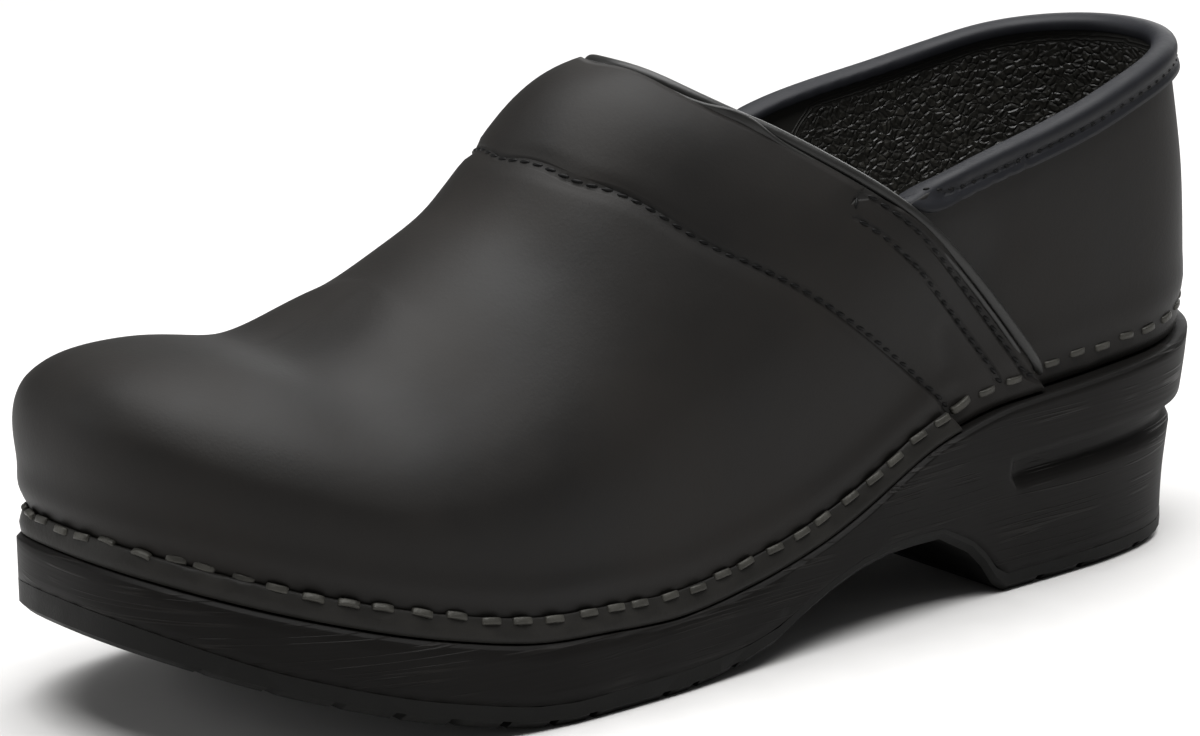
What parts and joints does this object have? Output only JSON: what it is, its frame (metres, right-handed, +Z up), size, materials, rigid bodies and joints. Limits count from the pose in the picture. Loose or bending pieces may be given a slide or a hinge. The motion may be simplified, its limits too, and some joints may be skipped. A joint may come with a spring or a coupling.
{
  "type": "chef clog",
  "caption": "Closed-back slip-on work clog with a hollow leather upper stapled to the ledge of a heeled rocker platform sole, left foot.",
  "frame": {"origin": "middle of the whole clog's box, on the floor plane under the sole", "axes": "+X towards the toe, +Y towards the outer side of this left shoe, +Z up"},
  "size_m": [0.262, 0.0994, 0.1143],
  "materials": {
    "outsole_rubber": "matte moulded tread",
    "sole_moulding": "satin moulding with fine horizontal lines",
    "insole_lining": "matte lining leather",
    "upper_leather": "smooth oiled leather, soft sheen",
    "piping": "smooth rolled bead",
    "binding": "smooth rolled binding",
    "rand": "matte strip",
    "staple_steel": "dull grey wire",
    "thread": "waxed stitching thread",
    "inner_lining": "pebbled lining patch"
  },
  "bodies": {
    "root": {"outsole": "outsole_rubber", "sole_frame": "sole_moulding", "insole": "insole_lining", "upper": "upper_leather", "vamp_piping": "piping", "collar_binding": "binding", "front_rand": "rand"}
  },
  "joints": []
}
